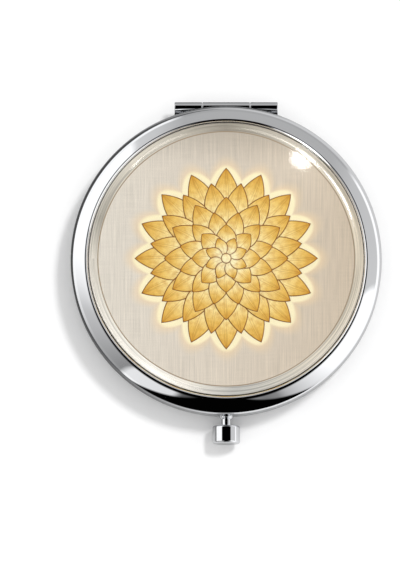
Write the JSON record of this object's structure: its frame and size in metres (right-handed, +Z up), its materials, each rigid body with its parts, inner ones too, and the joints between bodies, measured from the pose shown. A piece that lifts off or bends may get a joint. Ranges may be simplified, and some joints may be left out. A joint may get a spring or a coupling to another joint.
{
  "type": "compact mirror",
  "caption": "Round folding compact mirror: polished hinged lid with a domed insert, a framed mirror in each half and a sprung push-knob latch.",
  "frame": {"origin": "centre of the flat underside of the base", "axes": "+Z up through the closed lid, +Y towards the hinge, -Y towards the push knob, X along the hinge axis"},
  "size_m": [0.07, 0.0774, 0.0113],
  "materials": {
    "polished_chrome": "polished",
    "mirror_glass": "silvered",
    "foam": "matte",
    "spring_steel": "bright",
    "adhesive": "matte",
    "insert_metal": "brushed, printed",
    "clear_resin": "clear gloss"
  },
  "bodies": {
    "base": {"base_shell": "polished_chrome", "base_bezel": "polished_chrome", "base_mirror": "mirror_glass", "base_mirror_pad": "foam", "hinge_leaf_base": "polished_chrome", "hinge_pin": "spring_steel", "button_bushing": "polished_chrome", "spring_bracket": "spring_steel", "latch_spring": "spring_steel"},
    "lid": {"lid_shell": "polished_chrome", "lid_bezel": "polished_chrome", "lid_mirror": "mirror_glass", "lid_mirror_pad": "foam", "insert_adhesive": "adhesive", "insert_disc": "insert_metal", "dome": "clear_resin", "hinge_leaf_lid": "polished_chrome", "latch_hook": "polished_chrome"},
    "button": {"push_knob": "polished_chrome", "latch_catch": "spring_steel"}
  },
  "joints": [
    {"name": "lid_hinge", "type": "hinge", "parent": "base", "child": "lid", "pos_m": [0, 0.0351, 0.00523], "axis": [-1, 0, 0], "range_deg": [0, 170]},
    {"name": "button_press", "type": "slide", "parent": "base", "child": "button", "axis": [0, 1, 0], "range_m": [0, 0.0008], "stiffness_N_per_m": 300, "springref_m": -0.003, "deforming": ["latch_spring"]}
  ]
}
